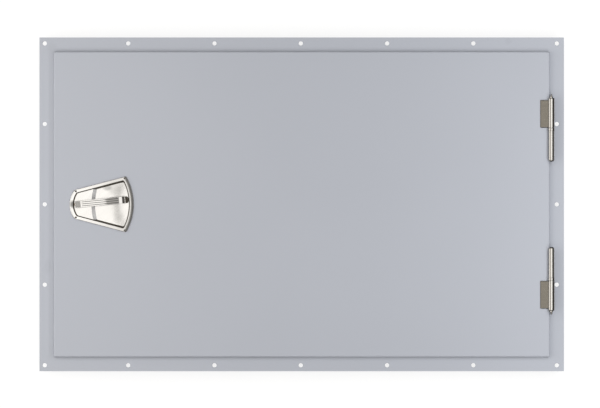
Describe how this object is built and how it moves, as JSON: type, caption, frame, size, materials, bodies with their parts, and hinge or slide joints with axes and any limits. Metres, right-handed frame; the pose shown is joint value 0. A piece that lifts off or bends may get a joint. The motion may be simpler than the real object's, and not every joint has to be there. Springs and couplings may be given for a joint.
{
  "type": "steel deck hatch",
  "caption": "Flanged rectangular hatch with a hinged steel lid, a fan-shaped flush latch with a turning lever, and a gasketed coaming.",
  "frame": {"origin": "centre of the four corner bolt holes, on the flange's underside, which lies on the deck", "axes": "+Z out of the deck, +X from the latch to the hinges, +Y along the hinge line"},
  "size_m": [1.1, 0.7, 0.0673],
  "materials": {
    "frame_paint": "satin powder coat",
    "lid_paint": "satin powder coat",
    "polished_steel": "polished stainless",
    "brushed_steel": "brushed stainless",
    "zinc_steel": "zinc plated",
    "bronze": "turned",
    "black_rubber": "matt"
  },
  "bodies": {
    "frame": {"deck_flange": "frame_paint", "coaming": "frame_paint", "keeper": "zinc_steel", "keeper_screws": "zinc_steel", "keeper_nuts": "zinc_steel", "hinge_knuckle_upper": "brushed_steel", "hinge_knuckle_lower": "brushed_steel", "hinge_pin_upper": "brushed_steel", "hinge_pin_lower": "brushed_steel", "hinge_ring_upper": "brushed_steel", "hinge_ring_lower": "brushed_steel"},
    "lid": {"lid_panel": "lid_paint", "gasket_channel": "lid_paint", "gasket": "black_rubber", "stiffener_left": "lid_paint", "stiffener_middle": "lid_paint", "stiffener_right": "lid_paint", "hinge_leaf_upper": "brushed_steel", "hinge_leaf_lower": "brushed_steel", "grease_nipple_upper": "brushed_steel", "grease_nipple_lower": "brushed_steel", "latch_pan": "polished_steel", "pan_pad": "black_rubber", "pan_screws": "polished_steel", "pan_nuts": "zinc_steel", "spindle_bush": "bronze", "bush_locknut": "bronze", "latch_case": "zinc_steel", "case_studs": "zinc_steel", "case_nuts": "zinc_steel"},
    "lever_group": {"lever": "polished_steel", "spindle": "zinc_steel", "crank": "zinc_steel", "crank_pin": "zinc_steel", "spindle_washer": "zinc_steel", "spindle_nut": "zinc_steel"},
    "bolt": {"latch_bolt": "zinc_steel"}
  },
  "joints": [
    {"name": "lid_hinge", "type": "hinge", "parent": "frame", "child": "lid", "pos_m": [0.525, 0, 0.0204], "axis": [0, 1, 0], "range_deg": [0, 180]},
    {"name": "lever_turn", "type": "hinge", "parent": "lid", "child": "lever_group", "pos_m": [-0.467, 0, 0], "axis": [0, 0, 1], "range_deg": [-25.5, 14.5]},
    {"name": "bolt_slide", "type": "slide", "parent": "lid", "child": "bolt", "axis": [1, 0, 0], "range_m": [-0.0088, 0.005]}
  ],
  "couplings": [
    {"joint": "bolt_slide", "follows": "lever_turn", "m_per_rad": 0.0197}
  ]
}
